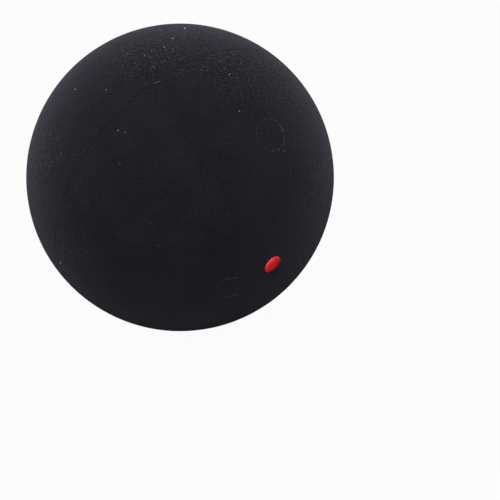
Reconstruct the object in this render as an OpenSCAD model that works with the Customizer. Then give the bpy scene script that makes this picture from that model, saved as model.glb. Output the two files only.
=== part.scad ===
// Squash ball of the single-dot kind: a hollow rubber ball, moulded as two half
// shells that are bonded rim to rim and buffed, then marked with a dab of paint
// for its speed and printed on the far side with a plain band of slanted bars.
// The origin is the centre of the ball. The moulding axis runs along Y, with the
// speed dot on the -Y pole and the print round the +Y pole, so the seam lies in
// the XZ plane. All sizes are in millimetres.

/* [Ball] */
// Outside diameter of the finished ball
ball_d = 40; // [36:0.5:44]
// Thickness of the moulded rubber wall
wall_t = 4.8; // [4:0.1:6]

/* [Seam] */
// Thickness of the cured bonding film between the two rims
film_t = 0.08; // [0.06:0.02:0.4]
// Depth of the hairline that the film leaves open at the outside
hairline_depth = 0.03; // [0.02:0.01:0.3]
// Leg of the bevel that buffing leaves on the outside edge of each rim
edge_bevel = 0.02; // [0.02:0.01:0.1]
// Leg of the chamfer on the inside edge of each rim
rim_chamfer = 0.8; // [0.4:0.1:1.5]
// Height by which the bead of bonding solution stands into the cavity
bead_rise = 0.25; // [0.1:0.05:0.5]

/* [Speed dot] */
// Diameter of the dab of paint where it meets the rubber
dot_d = 2.5; // [2:0.1:4]
// Height of the dab above the surface of the ball
dot_h = 0.4; // [0.36:0.02:0.7]
// Radius of the dab's rounded shoulder
dot_shoulder_r = 0.3; // [0.2:0.05:0.6]
// Angle at which the edge of the dab meets the rubber, in degrees
dot_edge_angle = 70; // [50:5:75]

/* [Print] */
// Length of the printed band from tip to tip, measured straight across
band_l = 28; // [16:1:32]
// Height of the printed band
band_h = 3.5; // [2:0.1:5]
// Number of bars
bar_count = 13; // [5:2:17]
// Share of its own pitch that the middle bar fills
middle_bar_share = 0.74; // [0.4:0.02:0.86]
// Share of its own pitch that the bars at the two tips fill
tip_bar_share = 0.24; // [0.16:0.02:0.4]
// Slant of the bars away from upright, in degrees
bar_slant = 20; // [0:1:35]
// Thickness of the ink
ink_t = 0.05; // [0.03:0.01:0.1]

/* [Hidden] */

// Number of steps that a full circle is drawn in
$fn = 360;
// Length by which every cut runs past the solid that it cuts
overrun = 1;

ball_r = ball_d / 2;
cavity_r = ball_r - wall_t;
rim_y = film_t / 2;

// The dab's half section is two arcs that run into each other: a shoulder that
// starts on the rubber at the dab's edge, and a flatter crown across the axis.
dot_top_y = ball_r + dot_h;
dot_foot_y = sqrt(pow(ball_r, 2) - pow(dot_d / 2, 2));
shoulder_x = dot_d / 2 - dot_shoulder_r * sin(dot_edge_angle);
shoulder_y = dot_foot_y - dot_shoulder_r * cos(dot_edge_angle);
shoulder_drop = dot_top_y - shoulder_y;
crown_r = (pow(shoulder_x, 2) + pow(shoulder_drop, 2) - pow(dot_shoulder_r, 2))
        / (shoulder_drop - dot_shoulder_r) / 2;
crown_y = dot_top_y - crown_r;

rubber_colour = "#232228";
bond_colour = "#17161a";
dot_colour = "#c4242a";
ink_colour = "#c9c9c6";

// Everything that revolves is drawn as a half section: X is the distance from
// the moulding axis, and Y runs along the axis from the seam to the pole.

// A right-angled corner cut at 45 degrees, with its legs along the rim face and
// the wall, and pointing inwards for side -1 or outwards for side 1
module rim_edge_cut(edge_x, leg, side) {
    translate([edge_x, rim_y])
        polygon([
            [-side * (leg + overrun), -overrun],
            [side * overrun, leg + overrun],
            [side * overrun, -overrun],
        ]);
}

// Section of a half shell: the wall, cut flat at its rim face, with the inside
// edge chamfered to hold the bead and the outside edge just broken
module shell_section() {
    difference() {
        intersection() {
            circle(r = ball_r);
            translate([0, rim_y])
                square([ball_r, ball_r]);
        }
        circle(r = cavity_r);
        rim_edge_cut(cavity_r, rim_chamfer, -1);
        rim_edge_cut(ball_r, edge_bevel, 1);
    }
}

// Section of the bond: the film between the rim faces, and the bead that fills
// the valley between the two chamfers and rounds over into the cavity
module bond_section() {
    difference() {
        union() {
            translate([cavity_r, -rim_y])
                square([wall_t - hairline_depth, film_t]);
            translate([cavity_r + rim_chamfer, 0])
                circle(r = rim_chamfer + bead_rise);
        }
        shell_section();
        mirror([0, 1])
            shell_section();
    }
}

// Section of the dot: the crown as far as the line through both arcs' centres,
// where the shoulder takes over and turns down to the rubber
module dot_section() {
    difference() {
        union() {
            intersection() {
                translate([0, crown_y])
                    circle(r = crown_r);
                polygon([
                    [0, crown_y],
                    [shoulder_x, shoulder_y] + [shoulder_x, crown_r - shoulder_drop],
                    [0, dot_top_y + overrun],
                ]);
            }
            translate([shoulder_x, shoulder_y])
                circle(r = dot_shoulder_r);
        }
        circle(r = ball_r);
    }
}

// Turns a section about the moulding axis, with its pole towards -Y for end -1
// or towards +Y for end 1
module revolve_towards(end) {
    rotate([-end * 90, 0, 0])
        rotate_extrude()
            children();
}

// One bar of the band, seen flat: upright edges leaning over by the slant
module bar_outline(middle_x, width) {
    lean = band_h * tan(bar_slant);
    translate([middle_x, 0])
        polygon([
            [(-width - lean) / 2, -band_h / 2],
            [(width - lean) / 2, -band_h / 2],
            [(width + lean) / 2, band_h / 2],
            [(-width + lean) / 2, band_h / 2],
        ]);
}

// The whole band, seen flat: bars at an even pitch that grow thin to both tips
module band_outline() {
    lean = band_h * tan(bar_slant);
    pitch = (band_l - lean) / (bar_count - 1 + tip_bar_share);
    middle = (bar_count - 1) / 2;
    for (i = [0 : bar_count - 1]) {
        way_to_tip = abs(i - middle) / middle;
        share = middle_bar_share + (tip_bar_share - middle_bar_share) * way_to_tip;
        bar_outline((i - middle) * pitch, share * pitch);
    }
}

module dot_half_shell() {
    color(rubber_colour)
        revolve_towards(-1)
            shell_section();
}

module print_half_shell() {
    color(rubber_colour)
        revolve_towards(1)
            shell_section();
}

module seam_bond() {
    color(bond_colour)
        revolve_towards(1)
            bond_section();
}

module speed_dot() {
    color(dot_colour)
        revolve_towards(-1)
            dot_section();
}

// A soft pad presses the flat band straight onto the ball along Y, so each bar
// is the part of the ink layer that lies in line with its flat outline
module print_band() {
    color(ink_colour)
        intersection() {
            difference() {
                sphere(r = ball_r + ink_t);
                sphere(r = ball_r);
            }
            rotate([90, 0, 180])
                linear_extrude(height = ball_r + overrun)
                    band_outline();
        }
}

dot_half_shell();
print_half_shell();
seam_bond();
speed_dot();
print_band();
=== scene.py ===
"""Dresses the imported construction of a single-dot squash ball in its real finishes.

The ball is hollow, moulded as two half shells of black butyl rubber that are
bonded rim to rim and buffed matt. One pole has a raised dab of red paint for the
ball's speed, and the other a printed band of slanted bars. The frame has its
origin at the centre of the ball, the dot on the -Y pole, the seam in the XZ plane
and +Z up. Blender's unit is the metre, so sizes are written as millimetres times MM.
"""

import math

import bpy
import numpy as np
from mathutils import Matrix, Vector


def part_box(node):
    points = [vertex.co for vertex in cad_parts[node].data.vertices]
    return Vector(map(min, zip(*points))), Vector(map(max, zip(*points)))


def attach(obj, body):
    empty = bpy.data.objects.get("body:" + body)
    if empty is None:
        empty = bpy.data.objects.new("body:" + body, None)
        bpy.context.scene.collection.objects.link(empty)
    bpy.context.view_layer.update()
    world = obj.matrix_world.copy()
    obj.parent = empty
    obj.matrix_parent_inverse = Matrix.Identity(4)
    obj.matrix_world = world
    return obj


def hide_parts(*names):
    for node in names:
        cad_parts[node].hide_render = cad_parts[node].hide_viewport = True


bl_info = {
    "name": "Squash Ball",
    "version": (1, 0, 0),
    "blender": (4, 5, 0),
    "location": "3D View > Sidebar > Squash Ball",
    "description": "Dresses the construction of a squash ball in buffed rubber, paint and ink",
    "category": "Add Mesh",
}

MM = 0.001
BODY = "root"

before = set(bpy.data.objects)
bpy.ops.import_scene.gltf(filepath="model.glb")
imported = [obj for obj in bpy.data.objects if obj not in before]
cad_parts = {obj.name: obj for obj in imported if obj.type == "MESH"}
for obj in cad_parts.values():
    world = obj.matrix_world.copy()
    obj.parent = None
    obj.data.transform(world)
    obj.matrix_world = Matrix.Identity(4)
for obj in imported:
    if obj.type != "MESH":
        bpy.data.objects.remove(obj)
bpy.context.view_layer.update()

# Sizes that the construction already has, from the corners of its pieces' boxes.
# The rim face of a half shell lies at RIM_Y from the seam's middle plane.
SHELL_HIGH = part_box("dot_half_shell")[1]
DOT_LOW, DOT_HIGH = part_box("speed_dot")
BAND_LOW, BAND_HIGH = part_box("print_band")
BALL_R = SHELL_HIGH.x
RIM_Y = -SHELL_HIGH.y
DOT_R = DOT_HIGH.x
DOT_H = -DOT_LOW.y - BALL_R
BAND_L = BAND_HIGH.x - BAND_LOW.x
BAND_H = BAND_HIGH.z - BAND_LOW.z
INK_T = BAND_HIGH.y - BALL_R

# Number of points in which each curve is drawn
SHELL_TURN_POINTS = 440
SHELL_OUTSIDE_POINTS = 182
SHELL_EDGE_POINTS = 5
SHELL_INSIDE_POINTS = 26
DOT_TURN_POINTS = 96
DOT_CROWN_POINTS = 20
DOT_SHOULDER_POINTS = 16
DOT_UNDERSIDE_POINTS = 8
BAR_LENGTH_POINTS = 40

# Widths of the unevenness that buffing leaves in the shape of the shells
SWELL_W = 6.0 * MM
GRIT_W = 1.3 * MM
GRAIN_RELIEF_W = 0.45 * MM

# The dab: how far its underside lies in the rubber, so that no gap shows at its
# foot, the width of the lumps in its crown, and the share of its height by which
# they lower the crown on average
DOT_SINK = 0.08 * MM
DOT_LUMP_W = 0.7 * MM
DOT_SAG_SHARE = 0.06

# The ink of a bar: how far its long edges wander, and the width of one bend. It is
# drawn at a share of the construction's thickness, which keeps it inside its box,
# and its underside lies in the rubber by a share of that. At both ends it loses a
# share of its thickness, over a share of the bar's half length.
INK_WANDER = 0.035 * MM
INK_WANDER_W = 0.22 * MM
INK_DRAWN_SHARE = 0.98
INK_ROOT_SHARE = 0.9
INK_LOSS_SHARE = 0.8
BAR_END_SHARE = 0.04

# Patterns of the rubber and the bond: width W and height H of one bump or patch
BLOOM_W = 5.0 * MM
SPECK_W = 0.3 * MM
POWDER_W = 0.2 * MM
RING_WEAR_W = 0.45 * MM
BOND_LUMP_W = 0.4 * MM
BOND_LUMP_H = 0.02 * MM

# Patterns of the paint
BLOTCH_W = 0.8 * MM
ORANGE_PEEL_W = 0.35 * MM
ORANGE_PEEL_H = 0.04 * MM

# Patterns of the ink
INK_WEAR_W = 1.1 * MM
PINHOLE_W = 0.22 * MM
INK_POWDER_W = 0.12 * MM
INK_POWDER_H = 0.01 * MM

# A direction square to the moulding axis. Towards it the dab's colour is painted darker, as
# painted shade, and away from it paler, partly as a painted highlight and partly as rubbed wear
DOT_SHADE_SIDE = (0.527, 0.0, -0.85)

# Where the photograph, 500 pixels square, shows the ball and what lies on it
PHOTO_PX = 500
BALL_CENTRE_PX = (180.1, 177.4)
BALL_RADIUS_PX = 154.0

# Flecks of dust and short scuffs that stand out on the rubber. Each gives its
# place in pixels, its length and width in millimetres, the way it runs in
# degrees anticlockwise from level, and how pale it is from 0 to 1.
MARKS_PX = [
    (119.0, 131.0, 0.22, 0.18, 0, 0.75),
    (126.0, 133.0, 0.20, 0.16, 0, 0.70),
    (76.0, 90.0, 0.28, 0.24, 30, 1.00),
    (107.0, 90.5, 0.32, 0.20, 10, 0.50),
    (157.0, 83.3, 1.60, 0.16, 14, 0.15),
    (229.0, 75.5, 0.60, 0.15, 60, 0.50),
    (238.5, 112.0, 0.30, 0.18, 0, 0.60),
    (158.0, 245.0, 0.24, 0.18, 0, 0.32),
    (151.0, 222.0, 0.20, 0.16, 0, 0.28),
    (61.0, 262.5, 1.30, 0.24, 70, 0.60),
    (120.5, 163.5, 0.50, 0.16, 40, 0.15),
    (184.5, 28.5, 1.50, 0.20, -62, 0.75),
    (227.5, 277.8, 1.30, 0.30, 6, 0.08),
    (234.5, 276.8, 1.20, 0.34, 8, 0.10),
    (227.0, 296.2, 1.10, 0.28, 8, 0.08),
    (234.0, 294.8, 1.40, 0.28, 16, 0.10),
    (216.5, 286.5, 0.60, 0.30, 90, 0.07),
    (236.5, 288.5, 0.40, 0.34, 0, 0.07),
    (283.0, 151.0, 0.50, 0.26, 50, 0.16),
    (172.8, 39.4, 0.50, 0.24, 90, 0.60),
    (164.4, 48.4, 0.40, 0.22, 90, 0.50),
    (160.2, 30.8, 0.50, 0.22, 90, 0.40),
    (144.8, 56.0, 0.60, 0.16, -50, 0.35),
    (154.6, 68.4, 0.50, 0.16, -10, 0.28),
    (140.2, 71.2, 0.24, 0.18, 0, 0.28),
    (201.6, 70.6, 0.28, 0.18, 0, 0.18),
    (62.3, 154.4, 0.26, 0.20, 0, 0.35),
    (91.9, 147.6, 0.24, 0.20, 0, 0.14),
    (85.1, 201.1, 0.24, 0.18, 0, 0.12),
    (82.3, 177.9, 0.90, 0.14, -35, 0.07),
    (74.4, 154.4, 0.28, 0.24, 0, 0.10),
    (76.7, 189.4, 0.26, 0.22, 0, 0.10),
    (71.7, 206.7, 0.34, 0.20, 30, 0.12),
    (92.8, 227.8, 0.24, 0.20, 0, 0.08),
    (85.5, 235.5, 0.26, 0.22, 0, 0.10),
]

# Patches where dust has gathered in the buffed grain, and where shade and light are painted
# more strongly on the grain: place in pixels, length and width in millimetres, run in degrees,
# and how thick the dust lies and how strong the painted shade and light are
DUST_AND_GRAIN_SHADE_PX = [
    (155.0, 52.0, 17.0, 17.0, 0, 1.0),
    (234.0, 68.0, 16.0, 16.0, -30, 0.8),
    (185.0, 36.0, 34.0, 14.0, 0, 0.7),
    (46.0, 155.0, 13.0, 12.0, 80, 1.0),
    (275.0, 75.0, 20.0, 14.0, -45, 0.6),
    (315.0, 190.0, 18.0, 12.0, 85, 0.5),
    (75.0, 250.0, 16.0, 10.0, -45, 0.3),
]

# The broken ring that a round edge has rubbed into the rubber
RING_CENTRE_PX = (270.0, 135.0)
RING_R = 2.2 * MM
RING_W = 0.18 * MM

# Softboxes of the light tent: turn from straight in front and height over the
# horizon in degrees, width and depth in metres, and power in watts. They all stand
# at one distance from the ball.
SOFTBOXES = {
    "key_softbox": (314, 58, 0.5, 0.5, 5.3),
    "top_softbox": (0, 90, 0.6, 0.6, 4.3),
    "right_softbox": (90, 12, 0.6, 0.3, 1.7),
    "back_softbox": (135, 12, 0.6, 0.3, 1.7),
    "left_softbox": (190, 12, 0.7, 0.3, 3.0),
}
SOFTBOX_DISTANCE = 0.8

# Half the width of the floor paper, and the nearest and farthest distance that
# the camera draws, in metres
FLOOR_HALF_WIDTH = 1.5
CAMERA_CLIP = (0.1, 5.0)


def linear(hex_colour):
    """The linear red, green, blue and alpha of an sRGB colour such as #1e1d22."""
    values = [int(hex_colour[i : i + 2], 16) / 255 for i in (1, 3, 5)]
    rgb = [v / 12.92 if v <= 0.04045 else ((v + 0.055) / 1.055) ** 2.4 for v in values]
    return (*rgb, 1.0)


WHITE = linear("#ffffff")

# What buffing gives to rubber besides its colour: no gloss, and a faint cool sheen
# where the slopes of its open grain are seen from the side
BUFFED_MATT = {
    "Roughness": 0.6,
    "IOR": 1.52,
    "Specular IOR Level": 0.0,
    "Sheen Weight": 0.1,
    "Sheen Tint": linear("#dadaee"),
}


class BallRubber(bpy.types.PropertyGroup):
    """Sizes and colours of the two rubber half shells and their bond."""

    wall: bpy.props.FloatProperty(
        name="Wall",
        description="Thickness of the moulded rubber wall",
        default=4.8 * MM,
        min=2 * MM,
        unit="LENGTH",
    )
    rim_chamfer: bpy.props.FloatProperty(
        name="Rim chamfer",
        description="Leg of the chamfer on the inside edge of each rim",
        default=0.8 * MM,
        unit="LENGTH",
    )
    edge_round: bpy.props.FloatProperty(
        name="Edge rounding",
        description="Radius that buffing leaves on the outside edge of each rim",
        default=0.02 * MM,
        unit="LENGTH",
    )
    relief: bpy.props.FloatProperty(
        name="Relief",
        description="Depth of the unevenness that buffing leaves in the surface",
        default=0.03 * MM,
        unit="LENGTH",
    )
    grain_width: bpy.props.FloatProperty(
        name="Grain width",
        description="Width of one bump of the buffed grain, coarser than real so that it shows",
        default=0.3 * MM,
        unit="LENGTH",
    )
    grain_height: bpy.props.FloatProperty(
        name="Grain height",
        description="Height of one bump of the buffed grain",
        default=0.13 * MM,
        unit="LENGTH",
    )
    colour: bpy.props.FloatVectorProperty(
        name="Rubber",
        description="Colour of the clean rubber",
        subtype="COLOR",
        size=4,
        default=linear("#17171b"),
    )
    bloom_colour: bpy.props.FloatVectorProperty(
        name="Bloom",
        description="Colour of the rubber where its wax has bloomed a little",
        subtype="COLOR",
        size=4,
        default=linear("#1b1a1f"),
    )
    bond_colour: bpy.props.FloatVectorProperty(
        name="Bond",
        description="Colour of the cured rubber solution in the seam",
        subtype="COLOR",
        size=4,
        default=linear("#0c0c0e"),
    )
    dust_colour: bpy.props.FloatVectorProperty(
        name="Dust",
        description="Colour of dust and scuffs on the rubber",
        subtype="COLOR",
        size=4,
        default=linear("#a09fa4"),
    )


class BallDot(bpy.types.PropertyGroup):
    """Shape and colours of the speed dot."""

    shoulder_r: bpy.props.FloatProperty(
        name="Shoulder",
        description="Radius of the rounded shoulder of the dab",
        default=0.3 * MM,
        unit="LENGTH",
    )
    edge_angle: bpy.props.FloatProperty(
        name="Edge angle",
        description="Angle at which the paint meets the rubber",
        default=math.radians(70),
        subtype="ANGLE",
    )
    colour: bpy.props.FloatVectorProperty(
        name="Paint",
        description="Colour of the speed dot",
        subtype="COLOR",
        size=4,
        default=linear("#d61d18"),
    )
    blotch_colour: bpy.props.FloatVectorProperty(
        name="Blotches",
        description="Colour of the deeper blotches in the paint",
        subtype="COLOR",
        size=4,
        default=linear("#ca1212"),
    )
    # Painted shade: the colour of the dab on its shaded side
    shaded_side_colour: bpy.props.FloatVectorProperty(
        name="Thin paint",
        description="Colour of the dab where it thins out and the black rubber shows through",
        subtype="COLOR",
        size=4,
        default=linear("#480303"),
    )
    # Painted highlight and rubbed wear: the colour of the dab on its lit side
    highlight_and_wear_colour: bpy.props.FloatVectorProperty(
        name="Rubbed paint",
        description="Colour of the dab where it stands proud and has been rubbed dull",
        subtype="COLOR",
        size=4,
        default=linear("#d4525c"),
    )


class BallPrint(bpy.types.PropertyGroup):
    """Layout and colours of the printed band."""

    bars: bpy.props.IntProperty(
        name="Bars",
        description="Number of bars in the band",
        default=13,
        min=3,
    )
    middle_share: bpy.props.FloatProperty(
        name="Middle bar",
        description="Share of its pitch that the middle bar fills",
        default=0.74,
        subtype="FACTOR",
    )
    tip_share: bpy.props.FloatProperty(
        name="Tip bars",
        description="Share of their pitch that the bars at the tips fill",
        default=0.24,
        subtype="FACTOR",
    )
    slant: bpy.props.FloatProperty(
        name="Slant",
        description="Lean of the bars away from upright",
        default=math.radians(20),
        subtype="ANGLE",
    )
    colour: bpy.props.FloatVectorProperty(
        name="Ink",
        description="Colour of the silver-white ink",
        subtype="COLOR",
        size=4,
        default=linear("#e8e8e8"),
    )
    powder_colour: bpy.props.FloatVectorProperty(
        name="Powder",
        description="Colour of the ink where its powder lies thick",
        subtype="COLOR",
        size=4,
        default=linear("#bcbcbc"),
    )


class BallStage(bpy.types.PropertyGroup):
    """Camera, light and background round the ball."""

    azimuth: bpy.props.FloatProperty(
        name="Azimuth",
        description="Turn of the camera round the ball, from straight in front",
        default=math.radians(-36.66),
        subtype="ANGLE",
    )
    elevation: bpy.props.FloatProperty(
        name="Elevation",
        description="Height of the camera over the horizon",
        default=math.radians(44.3),
        subtype="ANGLE",
    )
    distance: bpy.props.FloatProperty(
        name="Distance",
        description="Distance from the camera to the centre of the ball",
        default=1.2,
        unit="LENGTH",
    )
    tent_level: bpy.props.FloatProperty(
        name="Light tent",
        description="Brightness of all the softboxes, as a share of their own power",
        default=1.0,
    )
    floor_colour: bpy.props.FloatVectorProperty(
        name="Floor",
        description="Colour of the floor paper in the light that it throws on the ball",
        subtype="COLOR",
        size=4,
        default=linear("#8e8e8e"),
    )
    floor_glow: bpy.props.FloatProperty(
        name="Floor glow",
        description="Share of plain white in the floor that the camera, gloss and glass see",
        default=0.96,
        subtype="FACTOR",
    )
    room_glow: bpy.props.FloatProperty(
        name="Room glow",
        description="Share of plain white in the room that the camera, gloss and glass see",
        default=0.97,
        subtype="FACTOR",
    )
    room_level: bpy.props.FloatProperty(
        name="Room",
        description="Brightness of the room in the light that it throws on the ball",
        default=0.05,
    )


def new_mesh_object(name, vertices, faces):
    """A mesh object at the origin from an array of points and a list of faces."""
    mesh = bpy.data.meshes.new(name)
    mesh.from_pydata(vertices.tolist(), [], faces)
    mesh.validate()
    mesh.shade_smooth()
    piece = bpy.data.objects.new(name, mesh)
    bpy.context.scene.collection.objects.link(piece)
    return piece


def lattice_noise(points, cell, seed):
    """Smooth noise from -1 to 1 at an array of points.

    Random values sit on the corners of a cubic lattice of the given cell size,
    which repeats every 64 cells. Between corners they are blended along Z, then Y,
    then X, with weights 3t^2 - 2t^3 where t is the share of the cell gone through.
    """
    repeat = 64
    table = np.random.default_rng(seed).uniform(-1, 1, (repeat, repeat, repeat))
    scaled = points / cell
    low = np.floor(scaled).astype(int)
    t = scaled - low
    weight = t * t * (3 - 2 * t)
    low %= repeat
    high = (low + 1) % repeat
    xs, ys, zs = ((low[..., axis], high[..., axis]) for axis in range(3))

    def blend(a, b, axis):
        return a + (b - a) * weight[..., axis]

    def edge(i, j):
        return blend(table[xs[i], ys[j], zs[0]], table[xs[i], ys[j], zs[1]], 2)

    near = blend(edge(0, 0), edge(0, 1), 1)
    far = blend(edge(1, 0), edge(1, 1), 1)
    return blend(near, far, 0)


def arc(centre, radius, start, stop, count):
    """Points (rho, height) of an arc in a half section.

    Each is the centre plus the radius times the sine and the cosine of an angle,
    which runs from the moulding axis outwards.
    """
    angle = np.linspace(start, stop, count)
    rho = centre[0] + radius * np.sin(angle)
    height = centre[1] + radius * np.cos(angle)
    return np.stack([rho, height], axis=-1)


def revolve(profile, columns, end):
    """Turns a profile from pole to pole about the moulding axis, as a grid of points.

    A point of the profile at the distance rho from the axis and the height along
    it goes to (rho cos a, end * height, -end * rho sin a), for an even fan of
    angles a. The pole is towards -Y for end -1 and towards +Y for end 1.
    """
    rho, height = profile[:, :1], profile[:, 1:]
    angle = np.linspace(0, 2 * math.pi, columns, endpoint=False)
    x = rho * np.cos(angle)
    z = -end * rho * np.sin(angle)
    y = np.broadcast_to(end * height, x.shape)
    return np.stack([x, y, z], axis=-1)


def closed_grid_mesh(name, grid):
    """A closed skin from a grid of points whose first and last rows are poles.

    Each row is a ring. The first and last rows become one point each, with a fan
    of triangles, and quads join every other row to the next.
    """
    rows, columns = grid.shape[:2]
    rings = grid[1:-1].reshape(-1, 3)
    vertices = np.concatenate([grid[:1, 0], rings, grid[-1:, 0]])
    last = len(vertices) - 1
    this = np.arange(columns)
    after = (this + 1) % columns
    first_fan = np.stack([np.zeros(columns, int), 1 + this, 1 + after], axis=-1)
    start = 1 + columns * np.arange(rows - 3)[:, None]
    quads = np.stack(
        [start + this, start + columns + this, start + columns + after, start + after],
        axis=-1,
    ).reshape(-1, 4)
    tail = 1 + columns * (rows - 3)
    last_fan = np.stack([tail + this, np.full(columns, last), tail + after], axis=-1)
    faces = [*first_fan.tolist(), *quads.tolist(), *last_fan.tolist()]
    return new_mesh_object(name, vertices, faces)


def shell_profile(rubber):
    """Half section of a shell as points (rho, height), with a weight for relief.

    It runs over the outside from the pole, round the buffed edge, in along the
    rim face, up the chamfer and back to the pole along the inside. The weight is
    1 over the outside and its edge, and 0 on the rim face and the inside.
    """
    edge = rubber.edge_round
    cavity_r = BALL_R - rubber.wall
    edge_angle = math.acos((RIM_Y + edge) / BALL_R)
    edge_x = BALL_R * math.sin(edge_angle) - edge
    lip_angle = math.acos((RIM_Y + rubber.rim_chamfer) / cavity_r)
    outside = arc((0, 0), BALL_R, 0, edge_angle, SHELL_OUTSIDE_POINTS)
    turn = arc((edge_x, RIM_Y + edge), edge, math.pi / 2, math.pi, SHELL_EDGE_POINTS)[1:]
    rim = np.array([[cavity_r + rubber.rim_chamfer, RIM_Y]])
    inside = arc((0, 0), cavity_r, lip_angle, 0, SHELL_INSIDE_POINTS)
    profile = np.concatenate([outside, turn, rim, inside])
    weight = np.zeros(len(profile))
    weight[: len(outside) + len(turn)] = 1
    return profile, weight


def buffed_relief(points):
    """Depth of the buffed surface under a true sphere, from 0 to 1.

    Three sizes of lattice noise are added to a half: the slow swell of the buffing
    wheel, the marks of its grit, and the grain of the rubber.
    """
    swell = lattice_noise(points, SWELL_W, seed=11)
    grit = lattice_noise(points, GRIT_W, seed=12)
    grain = lattice_noise(points, GRAIN_RELIEF_W, seed=13)
    return np.clip(0.5 + 0.25 * swell + 0.15 * grit + 0.1 * grain, 0, 1)


def make_half_shell(name, end, rubber):
    """One rubber half shell as a closed skin, sunk by its relief along the radius."""
    profile, weight = shell_profile(rubber)
    grid = revolve(profile, SHELL_TURN_POINTS, end)
    depth = buffed_relief(grid) * rubber.relief * weight[:, None]
    radius = np.linalg.norm(grid, axis=-1)
    grid *= (1 - depth / radius)[..., None]
    shell = closed_grid_mesh(name, grid)
    shell.data.set_sharp_from_angle(angle=math.radians(40))
    return shell


def dot_profile(dot):
    """Half section of the dab above its foot as points (rho, height).

    A shoulder arc starts at the foot with the edge angle, and runs without a
    kink into a flatter crown arc that is centred on the axis. For that, the two
    centres lie as far apart as the crown's radius less the shoulder's, which
    gives the crown's radius.
    """
    top = BALL_R + DOT_H
    foot = math.sqrt(BALL_R**2 - DOT_R**2)
    x = DOT_R - dot.shoulder_r * math.sin(dot.edge_angle)
    y = foot - dot.shoulder_r * math.cos(dot.edge_angle)
    drop = top - y
    crown_r = (x**2 + drop**2 - dot.shoulder_r**2) / (drop - dot.shoulder_r) / 2
    join = math.atan2(x, crown_r - drop)
    crown = arc((0, top - crown_r), crown_r, 0, join, DOT_CROWN_POINTS)
    shoulder = arc((x, y), dot.shoulder_r, join, dot.edge_angle, DOT_SHOULDER_POINTS)[1:]
    return np.concatenate([crown, shoulder])


def make_dot(dot):
    """The dab of paint as a closed skin, a little uneven in outline and height.

    Its half section is turned about the axis. The distance from the axis is then
    multiplied by a value just under one with small waves round the axis, and the
    crown is lowered by noise. The underside follows the ball inside the rubber.
    """
    upper = dot_profile(dot)
    sunk_r = BALL_R - DOT_SINK
    foot_angle = math.asin(upper[-1, 0] / sunk_r)
    under = arc((0, 0), sunk_r, foot_angle, 0, DOT_UNDERSIDE_POINTS)
    grid = revolve(np.concatenate([upper, under]), DOT_TURN_POINTS, -1)
    angle = np.arctan2(grid[..., 2], grid[..., 0])
    outline = 0.975 + 0.055 * np.cos(2 * angle - 1.1) - 0.02 * np.cos(4 * angle - 2.2)
    outline += 0.015 * np.cos(3 * angle + 0.6) + 0.01 * np.cos(5 * angle + 1.0)
    grid[..., 0] *= outline
    grid[..., 2] *= outline
    proud = np.clip((-grid[..., 1] - BALL_R) / DOT_H, 0, 1)
    lumps = lattice_noise(grid, DOT_LUMP_W, seed=21)
    grid[..., 1] += DOT_H * DOT_SAG_SHARE * proud * (1 + lumps)
    return closed_grid_mesh("speed_dot_paint", grid)


def bar_layout(band):
    """Middle and width of each bar along the band, in metres.

    The bars have an even pitch. The share of it that a bar fills changes evenly
    from the middle bar's to that of the bars at the tips.
    """
    lean = BAND_H * math.tan(band.slant)
    pitch = (BAND_L - lean) / (band.bars - 1 + band.tip_share)
    place = np.arange(band.bars) - (band.bars - 1) / 2
    way_to_tip = np.abs(place) / place.max()
    share = band.middle_share + (band.tip_share - band.middle_share) * way_to_tip
    return place * pitch, share * pitch


def bar_points(middle, width, band, seed):
    """One inked bar as a grid of points: loops across it, one after another along it.

    A loop goes over the ink and back under it. Its points are laid out flat with
    the slant, pressed onto the ball along Y, and moved along the radius by their
    lift, a share of the ink's thickness. The ink is thickest just inside its edge
    and feathers out at it, and both long edges wander a little by noise, as ink
    does on a buffed surface.
    """
    across = np.array([-1, -0.94, -0.84, -0.5, 0, 0.5, 0.84, 0.94, 1])
    over = np.array([0.15, 0.8, 1, 0.92, 0.88, 0.92, 1, 0.8, 0.15])
    share = np.concatenate([across, across[::-1]])
    lift = np.concatenate([over, np.full(len(across), -INK_ROOT_SHARE)])
    along = np.linspace(-1, 1, BAR_LENGTH_POINTS)[:, None]
    points = np.zeros((len(along), len(share), 3))
    points[..., 2] = along * BAND_H / 2
    edge = points.copy()
    edge[..., 0] = np.sign(share) * width / 2
    wander = lattice_noise(edge + middle, INK_WANDER_W, seed) * INK_WANDER
    lean = points[..., 2] * math.tan(band.slant)
    points[..., 0] = -(middle + lean + (share * width / 2 + np.abs(share) * wander))
    reach = np.hypot(points[..., 0], points[..., 2])
    points[..., 1] = np.sqrt(BALL_R**2 - reach**2)
    way_to_end = np.clip((np.abs(along) - (1 - BAR_END_SHARE)) / BAR_END_SHARE, 0, 1)
    thinned = lift * (1 - INK_LOSS_SHARE * way_to_end)
    rise = np.where(lift > 0, thinned, lift) * INK_T * INK_DRAWN_SHARE
    return points * (1 + rise / BALL_R)[..., None]


def bar_faces(index):
    """Quads of one bar from its grid of point numbers: all its sides, then both ends.

    Each loop is joined to the next, and an end is closed between the upper half of
    its loop and the lower.
    """
    after = np.roll(index, -1, axis=1)
    sides = np.stack([index[:-1], index[1:], after[1:], after[:-1]], axis=-1)
    faces = sides.reshape(-1, 4).tolist()
    half = index.shape[1] // 2
    for loop, step in ((index[0], 1), (index[-1], -1)):
        over = loop[:half]
        under = loop[half:][::-1]
        end = np.stack([over[:-1], over[1:], under[1:], under[:-1]], axis=-1)
        faces += end[:, ::step].tolist()
    return faces


def make_print(band):
    """All bars of the printed band in one object, each a closed skin."""
    vertices = []
    faces = []
    for i, (middle, width) in enumerate(zip(*bar_layout(band))):
        points = bar_points(middle, width, band, seed=31 + i)
        rows, loop = points.shape[:2]
        start = i * rows * loop
        faces += bar_faces(start + np.arange(rows * loop).reshape(rows, loop))
        vertices.append(points.reshape(-1, 3))
    piece = new_mesh_object("print_band_ink", np.concatenate(vertices), faces)
    piece.data.set_sharp_from_angle(angle=math.radians(60))
    return piece


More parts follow.
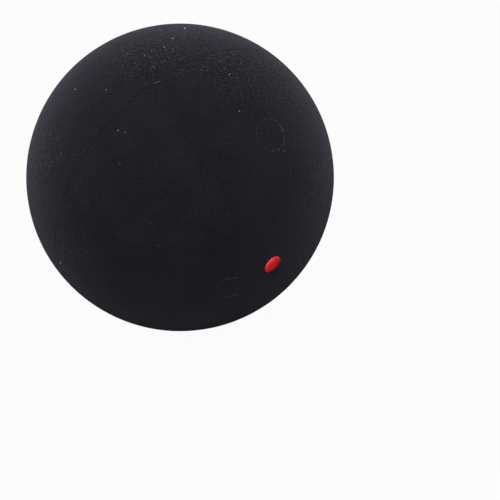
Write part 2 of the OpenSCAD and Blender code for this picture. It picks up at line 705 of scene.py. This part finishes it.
def direction(turn, height):
    """Unit vector at a turn from straight in front and a height over the horizon.

    With both angles in radians it is (sin t cos h, -cos t cos h, sin h).
    """
    level = math.cos(height)
    return Vector((math.sin(turn) * level, -math.cos(turn) * level, math.sin(height)))


def view_axes(stage):
    """The photograph's right, up and towards-the-camera directions in the ball's frame."""
    right = Vector((math.cos(stage.azimuth), math.sin(stage.azimuth), 0))
    back = direction(stage.azimuth, stage.elevation)
    return right, back.cross(right), back


def photo_point(px, py, stage):
    """The point of the ball that the photograph shows at a pixel.

    A long lens sees the ball nearly square on, so the pixel's offset from the
    ball's middle, in ball radii, gives two coordinates and the sphere the third.
    """
    right, up, back = view_axes(stage)
    x = (px - BALL_CENTRE_PX[0]) / BALL_RADIUS_PX
    y = (BALL_CENTRE_PX[1] - py) / BALL_RADIUS_PX
    z = math.sqrt(1 - x * x - y * y)
    return (right * x + up * y + back * z) * BALL_R


def patch_turn(point, run, stage):
    """Rotation whose X axis runs along a mark on the ball, at an angle in the photograph.

    The run's direction in the photograph is slid towards the camera until it is
    square to the ball's surface normal.
    """
    right, up, back = view_axes(stage)
    normal = point.normalized()
    seen = right * math.cos(math.radians(run)) + up * math.sin(math.radians(run))
    along = (seen - back * (seen.dot(normal) / back.dot(normal))).normalized()
    return Matrix((along, normal.cross(along), normal)).transposed().to_euler()


def add_node(tree, kind, inputs=(), **settings):
    """Adds a node, sets its settings and fills its sockets.

    The inputs go by the sockets' names, or stand in a list in the sockets' order.
    A Map Range node's list is its value, the two ends of the range that it comes
    from, and the two that it goes to, which are 0 and 1 where they are left out.
    A socket takes a value, another node's output, or a node, whose first output
    in use is then linked.
    """
    node = tree.nodes.new(kind)
    for key, value in settings.items():
        setattr(node, key, value)
    pairs = inputs.items() if isinstance(inputs, dict) else enumerate(inputs)
    for key, value in pairs:
        if isinstance(value, bpy.types.Node):
            value = next(output for output in value.outputs if output.enabled)
        if isinstance(value, bpy.types.NodeSocket):
            tree.links.new(value, node.inputs[key])
        else:
            node.inputs[key].default_value = value
    return node


def new_material(name):
    """An empty node material and its tree."""
    material = bpy.data.materials.new(name)
    material.use_nodes = True
    material.node_tree.nodes.clear()
    return material, material.node_tree


def patches(tree, coords, rows, stage, core):
    """The strongest of several oval patches at each point of the ball, from 0 to 1.

    A mapping puts each patch at the origin with unit radii, so the distance from
    the origin is 1 on its edge. The patch has its full strength out to the core,
    and falls smoothly to 0 at the edge.
    """
    strongest = None
    for px, py, length, width, run, strength in rows:
        point = photo_point(px, py, stage)
        placed = {
            "Vector": coords,
            "Location": point,
            "Rotation": patch_turn(point, run, stage),
            "Scale": (length * MM / 2, width * MM / 2, max(length, width) * MM / 2),
        }
        local = add_node(tree, "ShaderNodeMapping", placed, vector_type="TEXTURE")
        away = add_node(tree, "ShaderNodeVectorMath", [local], operation="LENGTH")
        fade = [away, 1.0, core, 0.0, strength]
        patch = add_node(tree, "ShaderNodeMapRange", fade, interpolation_type="SMOOTHSTEP")
        if strongest is None:
            strongest = patch
        else:
            pair = [strongest, patch]
            strongest = add_node(tree, "ShaderNodeMath", pair, operation="MAXIMUM")
    return strongest


def ring_scuff(tree, coords, stage):
    """A faint ring, strongest towards the view's right and worn to dots and dashes by noise.

    It has its full strength at the ring's radius from its middle, and falls to 0
    at the ring's width to either side of that.
    """
    middle = photo_point(*RING_CENTRE_PX, stage)
    right = view_axes(stage)[0]
    local = add_node(tree, "ShaderNodeVectorMath", [coords, middle], operation="SUBTRACT")
    side = add_node(tree, "ShaderNodeVectorMath", [local, right], operation="DOT_PRODUCT")
    ring_side_strength = add_node(tree, "ShaderNodeMapRange", [side, -RING_R, RING_R, 0.05, 0.15])
    away = add_node(tree, "ShaderNodeVectorMath", [local], operation="LENGTH")
    off = add_node(tree, "ShaderNodeMath", [away, RING_R], operation="SUBTRACT")
    off = add_node(tree, "ShaderNodeMath", [off], operation="ABSOLUTE")
    line = add_node(tree, "ShaderNodeMapRange", [off, RING_W, 0.0, 0.0, ring_side_strength])
    noise = {"Vector": coords, "Scale": 1 / RING_WEAR_W, "Detail": 3.0}
    wear = add_node(tree, "ShaderNodeTexNoise", noise)
    dots = add_node(tree, "ShaderNodeMapRange", [wear, 0.46, 0.66])
    return add_node(tree, "ShaderNodeMath", [line, dots], operation="MULTIPLY")


def rubber_with_grain_shade(tree, coords, rubber, grain, powder, dust_and_grain_shade):
    """Colour of the rubber under its dust, mottled by bloom and by its own grain.

    Shade and light are painted on the grain, so its pits are a little darker than its tops. In
    the patches, which also hold dust, the powder swings the colour much more, with painted
    shade in its gaps and painted light on its lumps.
    """
    noise = {"Vector": coords, "Scale": 1 / BLOOM_W, "Detail": 4.0}
    bloom = add_node(tree, "ShaderNodeTexNoise", noise)
    bloom = add_node(tree, "ShaderNodeMapRange", [bloom, 0.35, 0.65])
    blend = {"Factor": bloom, "A": rubber.colour, "B": rubber.bloom_colour}
    clean = add_node(tree, "ShaderNodeMix", blend, data_type="RGBA")
    # Painted shade and light on the grain: darker in its pits, paler on its tops
    grain_shade = add_node(tree, "ShaderNodeMapRange", [grain, 0.4, 0.6, 0.93, 1.11])
    # In the patches: painted shade in the powder's gaps, painted light on its lumps
    pit = add_node(tree, "ShaderNodeMapRange", [dust_and_grain_shade, 0.0, 1.0, 1.0, 0.1])
    top = add_node(tree, "ShaderNodeMapRange", [dust_and_grain_shade, 0.0, 1.0, 1.0, 1.8])
    powder_shade = add_node(tree, "ShaderNodeMapRange", [powder, 0.38, 0.62, pit, top])
    grain_shade = add_node(tree, "ShaderNodeMath", [grain_shade, powder_shade], operation="MULTIPLY")
    toned = {"Vector": clean, "Scale": grain_shade}
    return add_node(tree, "ShaderNodeVectorMath", toned, operation="SCALE")


def dust_and_scuffs(tree, coords, stage, powder, dust_and_grain_shade):
    """How much of the rubber is hidden by dust or scuffed pale, from 0 to 1.

    A thin film of powder lies everywhere. Where dust has gathered, it is thicker
    and has flecks in it. The marks and the ring lie over both.
    """
    film = add_node(tree, "ShaderNodeMapRange", [powder, 0.55, 0.7])
    thickness = add_node(tree, "ShaderNodeMapRange", [dust_and_grain_shade, 0.0, 1.0, 0.022, 0.05])
    film = add_node(tree, "ShaderNodeMath", [film, thickness], operation="MULTIPLY")
    noise = {"Vector": coords, "Scale": 1 / SPECK_W, "Detail": 1.0}
    specks = add_node(tree, "ShaderNodeTexNoise", noise)
    flecks = add_node(tree, "ShaderNodeMapRange", [specks, 0.68, 0.8, 0.0, 0.3])
    flecks = add_node(tree, "ShaderNodeMath", [flecks, dust_and_grain_shade], operation="MULTIPLY")
    dust = patches(tree, coords, MARKS_PX, stage, core=0.3)
    for more in (film, flecks, ring_scuff(tree, coords, stage)):
        dust = add_node(tree, "ShaderNodeMath", [dust, more], operation="MAXIMUM")
    return dust


def buffed_butyl_rubber(rubber, stage):
    """Carbon-black butyl rubber, moulded and then buffed matt.

    Buffing opens the skin into a fine grain that scatters light, so the rubber is near black
    where it is seen square on and greyer towards its outline, where the slopes of the grain
    show. It holds pale dust in the grain, and scuffs where something has rubbed it. Shade and
    light are also painted on the grain, darker in its pits and paler on its tops, and more
    strongly in patches that also hold dust. The real grain and dust are under 0.1 mm wide, too
    fine for a picture of the whole ball, so they are drawn coarser.
    """
    material, tree = new_material("buffed_butyl_rubber")
    coords = add_node(tree, "ShaderNodeTexCoord").outputs["Object"]
    noise = {"Vector": coords, "Scale": 1 / rubber.grain_width, "Detail": 3.0}
    grain = add_node(tree, "ShaderNodeTexNoise", noise)
    noise = {"Vector": coords, "Scale": 1 / POWDER_W, "Detail": 2.0}
    powder = add_node(tree, "ShaderNodeTexNoise", noise)
    # Patches of dust, where shade and light are also painted more strongly on the grain
    dust_and_grain_shade = patches(tree, coords, DUST_AND_GRAIN_SHADE_PX, stage, core=0.0)
    clean = rubber_with_grain_shade(tree, coords, rubber, grain, powder, dust_and_grain_shade)
    dust = dust_and_scuffs(tree, coords, stage, powder, dust_and_grain_shade)
    blend = {"Factor": dust, "A": clean, "B": rubber.dust_colour}
    colour = add_node(tree, "ShaderNodeMix", blend, data_type="RGBA")
    bump = add_node(tree, "ShaderNodeBump", {"Height": grain, "Distance": rubber.grain_height})
    look = {"Base Color": colour, "Normal": bump, **BUFFED_MATT}
    shader = add_node(tree, "ShaderNodeBsdfPrincipled", look)
    add_node(tree, "ShaderNodeOutputMaterial", {"Surface": shader})
    return material


def cured_rubber_solution(rubber):
    """Rubber solution, brushed on the rims and cured in the mould.

    It is the same black as the shells and is buffed with them, so it shows only
    as a hairline where the grain stops.
    """
    material, tree = new_material("cured_rubber_solution")
    coords = add_node(tree, "ShaderNodeTexCoord").outputs["Object"]
    noise = {"Vector": coords, "Scale": 1 / BOND_LUMP_W, "Detail": 2.0}
    lumps = add_node(tree, "ShaderNodeTexNoise", noise)
    bump = add_node(tree, "ShaderNodeBump", {"Height": lumps, "Distance": BOND_LUMP_H})
    look = {"Base Color": rubber.bond_colour, "Normal": bump, **BUFFED_MATT}
    shader = add_node(tree, "ShaderNodeBsdfPrincipled", look)
    add_node(tree, "ShaderNodeOutputMaterial", {"Surface": shader})
    return material


def red_rubber_paint(dot):
    """Thick red rubber paint, dabbed on and dried.

    It dries to a soft satin with a faint orange peel and slightly deeper blotches.
    On one side its colour is painted darker, as painted shade, and its surface is dull there.
    The other side is painted paler, partly as a painted highlight and partly as rubbed wear.
    """
    material, tree = new_material("red_rubber_paint")
    coords = add_node(tree, "ShaderNodeTexCoord").outputs["Object"]
    noise = {"Vector": coords, "Scale": 1 / BLOTCH_W, "Detail": 2.0}
    blotch = add_node(tree, "ShaderNodeTexNoise", noise)
    blotch = add_node(tree, "ShaderNodeMapRange", [blotch, 0.35, 0.65])
    blend = {"Factor": blotch, "A": dot.blotch_colour, "B": dot.colour}
    colour = add_node(tree, "ShaderNodeMix", blend, data_type="RGBA")

    # The shaded side: a darker colour painted on as shade, with a duller surface
    along = add_node(tree, "ShaderNodeVectorMath", [coords, DOT_SHADE_SIDE], operation="DOT_PRODUCT")
    thin = add_node(tree, "ShaderNodeMapRange", [along, -0.24 * DOT_R, 0.52 * DOT_R])
    painted_shade_share = add_node(tree, "ShaderNodeMath", [thin, 0.92], operation="MULTIPLY")
    blend = {"Factor": painted_shade_share, "A": colour, "B": dot.shaded_side_colour}
    colour = add_node(tree, "ShaderNodeMix", blend, data_type="RGBA")
    satin = add_node(tree, "ShaderNodeMapRange", [thin, 0.0, 1.0, 0.25, 0.95])

    # The lit side: a paler colour painted on, partly as a highlight and partly as rubbed wear,
    # palest on the tops of the orange peel
    noise = {"Vector": coords, "Scale": 1 / ORANGE_PEEL_W, "Detail": 2.0}
    peel = add_node(tree, "ShaderNodeTexNoise", noise)
    proud = add_node(tree, "ShaderNodeMapRange", [along, -0.5 * DOT_R, -0.9 * DOT_R])
    rubbed = add_node(tree, "ShaderNodeMapRange", [peel, 0.38, 0.58, 0.3, 0.9])
    rubbed = add_node(tree, "ShaderNodeMath", [rubbed, proud], operation="MULTIPLY")
    blend = {"Factor": rubbed, "A": colour, "B": dot.highlight_and_wear_colour}
    colour = add_node(tree, "ShaderNodeMix", blend, data_type="RGBA")

    bump = add_node(tree, "ShaderNodeBump", {"Height": peel, "Distance": ORANGE_PEEL_H})
    look = {
        "Base Color": colour,
        "Roughness": satin,
        "IOR": 1.5,
        "Specular IOR Level": 0.08,
        "Normal": bump,
    }
    shader = add_node(tree, "ShaderNodeBsdfPrincipled", look)
    add_node(tree, "ShaderNodeOutputMaterial", {"Surface": shader})
    return material


def pad_printed_ink(band, rubber):
    """Silver-white ink, laid on by a soft pad and rubbed a little in use.

    The ink bridges the buffed grain, so pinholes of black rubber show through it
    where it has worn thin, and its aluminium powder dulls the white. The real
    pinholes and powder are under 0.1 mm wide too, and are drawn coarser.
    """
    material, tree = new_material("pad_printed_ink")
    coords = add_node(tree, "ShaderNodeTexCoord").outputs["Object"]
    noise = {"Vector": coords, "Scale": 1 / PINHOLE_W, "Detail": 2.0}
    holes = add_node(tree, "ShaderNodeTexNoise", noise)
    holes = add_node(tree, "ShaderNodeMapRange", [holes, 0.54, 0.62])
    noise = {"Vector": coords, "Scale": 1 / INK_WEAR_W, "Detail": 2.0}
    thin = add_node(tree, "ShaderNodeTexNoise", noise)
    thin = add_node(tree, "ShaderNodeMapRange", [thin, 0.38, 0.56])
    worn = add_node(tree, "ShaderNodeMath", [holes, thin], operation="MULTIPLY")
    noise = {"Vector": coords, "Scale": 1 / INK_POWDER_W, "Detail": 1.0}
    powder = add_node(tree, "ShaderNodeTexNoise", noise)
    blend = {"Factor": powder, "A": band.powder_colour, "B": band.colour}
    fresh = add_node(tree, "ShaderNodeMix", blend, data_type="RGBA")
    blend = {"Factor": worn, "A": fresh, "B": rubber.bloom_colour}
    colour = add_node(tree, "ShaderNodeMix", blend, data_type="RGBA")
    bump = add_node(tree, "ShaderNodeBump", {"Height": powder, "Distance": INK_POWDER_H})
    look = {
        "Base Color": colour,
        "Roughness": 0.5,
        "IOR": 1.5,
        "Specular IOR Level": 0.2,
        "Normal": bump,
    }
    shader = add_node(tree, "ShaderNodeBsdfPrincipled", look)
    add_node(tree, "ShaderNodeOutputMaterial", {"Surface": shader})
    return material


def seen_share(tree, glow, unseen=0.0):
    """The glow to rays that show the background, and the unseen value to all others.

    Those are the camera's own rays, and what gloss reflects or glass lets through.
    """
    path = add_node(tree, "ShaderNodeLightPath").outputs
    seen = path["Is Camera Ray"]
    for ray in ("Is Glossy Ray", "Is Transmission Ray"):
        seen = add_node(tree, "ShaderNodeMath", [seen, path[ray]], operation="MAXIMUM")
    return add_node(tree, "ShaderNodeMapRange", [seen, 0.0, 1.0, unseen, glow])


def pale_floor_paper(stage):
    """White background paper under the ball.

    The camera, gloss and glass see it almost evenly white, with a trace of the
    light and shadow that really fall on it. The light that it throws on the ball
    comes off a mid grey.
    """
    material, tree = new_material("pale_floor_paper")
    paper = add_node(tree, "ShaderNodeBsdfDiffuse", {"Color": stage.floor_colour})
    white = add_node(tree, "ShaderNodeEmission", {"Color": WHITE, "Strength": 1.0})
    share = seen_share(tree, stage.floor_glow)
    shader = add_node(tree, "ShaderNodeMixShader", [share, paper, white])
    add_node(tree, "ShaderNodeOutputMaterial", {"Surface": shader})
    return material


def dress(piece, material, slot, *nodes):
    """Gives a new piece its material, and lets it stand for its CAD nodes. The slot is not
    used.
    """
    piece.data.materials.append(material)
    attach(piece, BODY)
    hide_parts(*nodes)


class SQUASH_BALL_OT_half_shells(bpy.types.Operator):
    """Makes both half shells of buffed rubber."""

    bl_idname = "squash_ball.half_shells"
    bl_label = "Half Shells"

    def execute(self, context):
        rubber = context.scene.ball_rubber
        material = buffed_butyl_rubber(rubber, context.scene.ball_stage)
        for node, end in (("dot_half_shell", -1), ("print_half_shell", 1)):
            dress(make_half_shell(node + "_rubber", end, rubber), material, "rubber", node)
        return {"FINISHED"}


class SQUASH_BALL_OT_seam_bond(bpy.types.Operator):
    """Finishes the film of rubber solution in the seam."""

    bl_idname = "squash_ball.seam_bond"
    bl_label = "Seam Bond"

    def execute(self, context):
        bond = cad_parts["seam_bond"]
        bond.data.materials.clear()
        bond.data.materials.append(cured_rubber_solution(context.scene.ball_rubber))
        return {"FINISHED"}


class SQUASH_BALL_OT_speed_dot(bpy.types.Operator):
    """Makes the raised dab of red paint."""

    bl_idname = "squash_ball.speed_dot"
    bl_label = "Speed Dot"

    def execute(self, context):
        dot = context.scene.ball_dot
        dress(make_dot(dot), red_rubber_paint(dot), "dot_paint", "speed_dot")
        return {"FINISHED"}


class SQUASH_BALL_OT_print_band(bpy.types.Operator):
    """Makes the printed band of slanted bars."""

    bl_idname = "squash_ball.print_band"
    bl_label = "Print Band"

    def execute(self, context):
        band = context.scene.ball_print
        ink = pad_printed_ink(band, context.scene.ball_rubber)
        dress(make_print(band), ink, "print_ink", "print_band")
        return {"FINISHED"}


def add_softbox(name, turn, height, width, depth, power):
    """A rectangular area lamp that faces the ball from a turn and a height in degrees."""
    place = direction(math.radians(turn), math.radians(height))
    data = bpy.data.lights.new(name, "AREA")
    data.shape = "RECTANGLE"
    data.size = width
    data.size_y = depth
    data.energy = power
    lamp = bpy.data.objects.new(name, data)
    lamp.location = place * SOFTBOX_DISTANCE
    lamp.rotation_euler = (-place).to_track_quat("-Z", "Y").to_euler()
    lamp.visible_camera = False
    bpy.context.scene.collection.objects.link(lamp)


def make_floor(stage):
    """A square sheet of paper under the ball, level with its lowest point."""
    corners = np.array([[-1, -1, 0], [1, -1, 0], [1, 1, 0], [-1, 1, 0]]) * FLOOR_HALF_WIDTH
    corners[:, 2] = -BALL_R
    floor = new_mesh_object("floor", corners, [(0, 1, 2, 3)])
    floor.data.materials.append(pale_floor_paper(stage))


def make_world(stage):
    """A pale room: white to the camera, gloss and glass, and a dim even light to the rest."""
    world = bpy.data.worlds.new("pale_room")
    bpy.context.scene.world = world
    world.use_nodes = True
    tree = world.node_tree
    tree.nodes.clear()
    level = seen_share(tree, stage.room_glow, stage.room_level)
    glow = add_node(tree, "ShaderNodeBackground", {"Color": WHITE, "Strength": level})
    add_node(tree, "ShaderNodeOutputWorld", {"Surface": glow})


def make_camera(stage):
    """A long lens from the photograph's side, aimed so the ball sits where it does there.

    The ball is seen out to an angle whose sine is its radius over the distance. The
    aim point lies as far right of and under the ball's middle as the photograph's
    middle does.
    """
    right, up, back = view_axes(stage)
    data = bpy.data.cameras.new("camera")
    half_angle = math.asin(BALL_R / stage.distance)
    data.lens = BALL_RADIUS_PX * data.sensor_width / PHOTO_PX / math.tan(half_angle)
    data.clip_start, data.clip_end = CAMERA_CLIP
    metres_per_px = stage.distance * math.tan(half_angle) / BALL_RADIUS_PX
    aim = right * (PHOTO_PX / 2 - BALL_CENTRE_PX[0]) * metres_per_px
    aim -= up * (PHOTO_PX / 2 - BALL_CENTRE_PX[1]) * metres_per_px
    place = back * stage.distance
    behind = (place - aim).normalized()
    above = behind.cross(right).normalized()
    beside = above.cross(behind).normalized()
    turn = Matrix((beside, above, behind)).transposed().to_4x4()
    camera = bpy.data.objects.new("camera", data)
    camera.matrix_world = Matrix.Translation(place) @ turn
    bpy.context.scene.collection.objects.link(camera)
    bpy.context.scene.camera = camera


class SQUASH_BALL_OT_stage(bpy.types.Operator):
    """Sets the floor, the lamps, the room and the camera."""

    bl_idname = "squash_ball.stage"
    bl_label = "Stage"

    def execute(self, context):
        stage = context.scene.ball_stage
        make_floor(stage)
        for name, (turn, height, width, depth, power) in SOFTBOXES.items():
            add_softbox(name, turn, height, width, depth, power * stage.tent_level)
        make_world(stage)
        make_camera(stage)
        context.scene.view_settings.view_transform = "Standard"
        return {"FINISHED"}


class SQUASH_BALL_PT_panel(bpy.types.Panel):
    """Sidebar panel with the ball's steps and settings."""

    bl_idname = "SQUASH_BALL_PT_panel"
    bl_label = "Squash Ball"
    bl_space_type = "VIEW_3D"
    bl_region_type = "UI"
    bl_category = "Squash Ball"

    def draw(self, context):
        scene = context.scene
        for operator, group in STEPS:
            box = self.layout.box()
            box.operator(operator.bl_idname)
            if group:
                settings = getattr(scene, group)
                for name in settings.__annotations__:
                    box.prop(settings, name)


# The steps in order, each with the name of its settings on the scene
STEPS = [
    (SQUASH_BALL_OT_stage, "ball_stage"),
    (SQUASH_BALL_OT_half_shells, "ball_rubber"),
    (SQUASH_BALL_OT_seam_bond, None),
    (SQUASH_BALL_OT_speed_dot, "ball_dot"),
    (SQUASH_BALL_OT_print_band, "ball_print"),
]

# The groups of settings, by their names on the scene
SETTINGS = {
    "ball_rubber": BallRubber,
    "ball_dot": BallDot,
    "ball_print": BallPrint,
    "ball_stage": BallStage,
}


def register():
    """Registers the settings, the steps and the panel."""
    for name, group in SETTINGS.items():
        bpy.utils.register_class(group)
        setattr(bpy.types.Scene, name, bpy.props.PointerProperty(type=group))
    for operator, _ in STEPS:
        bpy.utils.register_class(operator)
    bpy.utils.register_class(SQUASH_BALL_PT_panel)


def unregister():
    """Takes back what register did, in the opposite order."""
    bpy.utils.unregister_class(SQUASH_BALL_PT_panel)
    for operator, _ in reversed(STEPS):
        bpy.utils.unregister_class(operator)
    for name, group in reversed(SETTINGS.items()):
        delattr(bpy.types.Scene, name)
        bpy.utils.unregister_class(group)


def main():
    """Runs every step in order."""
    register()
    bpy.ops.squash_ball.stage()
    bpy.ops.squash_ball.half_shells()
    bpy.ops.squash_ball.seam_bond()
    bpy.ops.squash_ball.speed_dot()
    bpy.ops.squash_ball.print_band()


if __name__ == "__main__":
    main()
